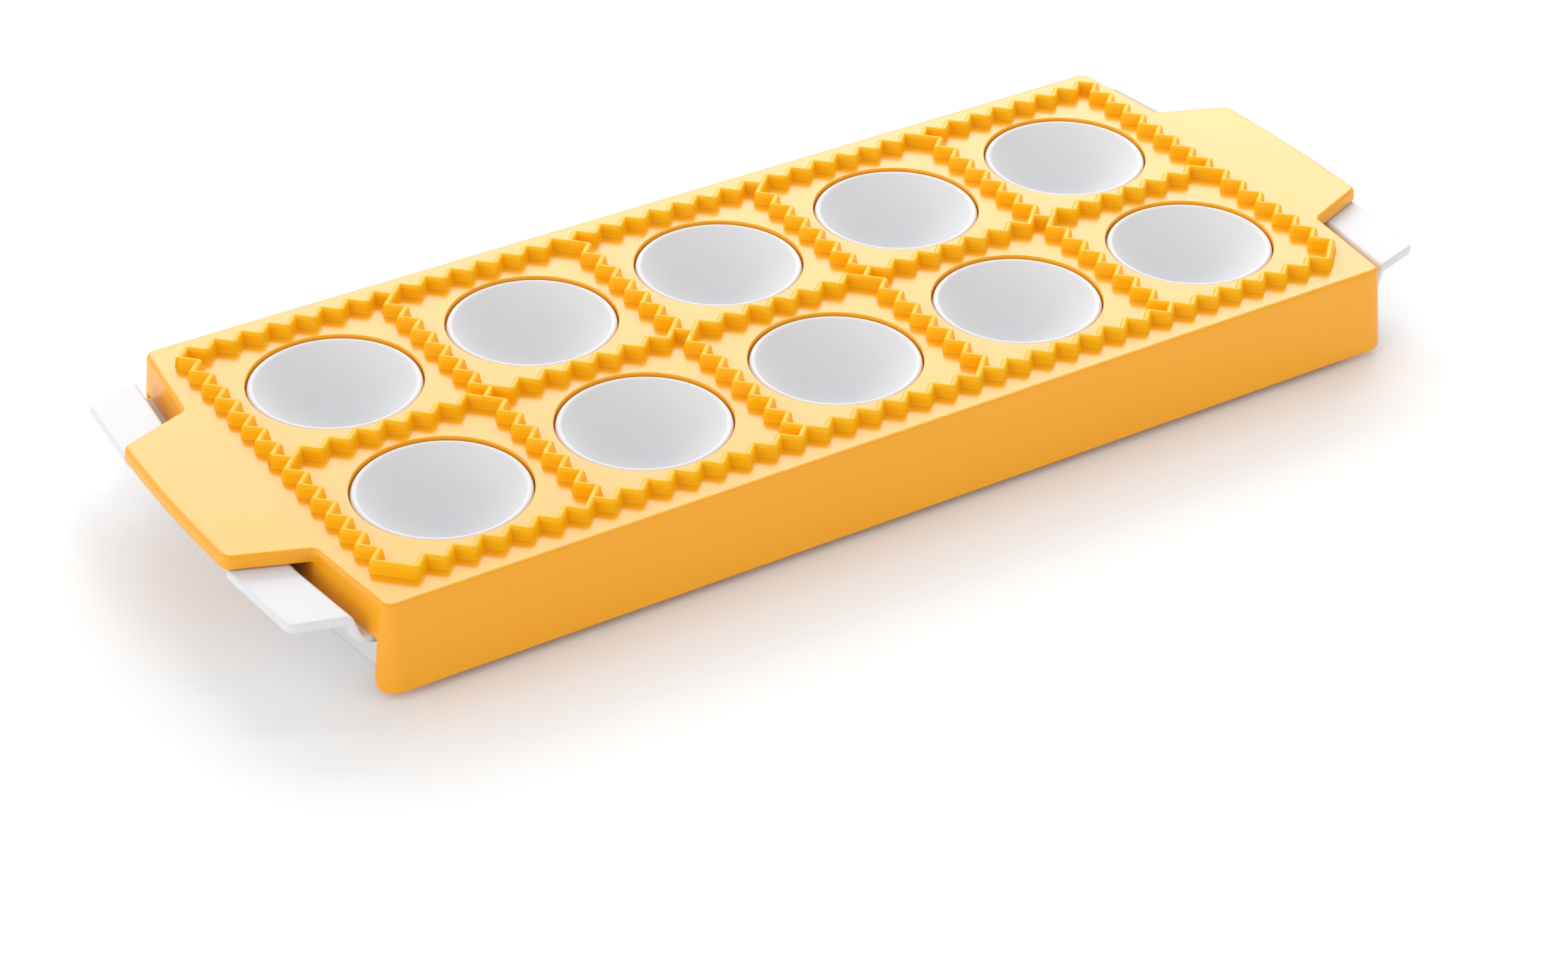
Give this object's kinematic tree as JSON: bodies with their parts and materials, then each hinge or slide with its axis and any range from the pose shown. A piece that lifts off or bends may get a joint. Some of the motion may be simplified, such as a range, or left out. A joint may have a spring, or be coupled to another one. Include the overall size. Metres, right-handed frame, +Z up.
{
  "type": "ravioli mould",
  "caption": "Two-piece ravioli mould: a cover with zigzag cutting ridges between round holes, resting over a white tray of round bowls with end tabs.",
  "frame": {"origin": "on the table, under the middle of the mould", "axes": "+X along the length through both handles, +Y across the width, +Z up"},
  "size_m": [0.3342, 0.1334, 0.0275],
  "materials": {
    "yellow_plastic": "smooth glossy moulded plastic, warm yellow orange",
    "white_plastic": "smooth satin moulded plastic, white"
  },
  "bodies": {
    "root": {"cutting_cover": "yellow_plastic", "forming_tray": "white_plastic"}
  },
  "joints": []
}
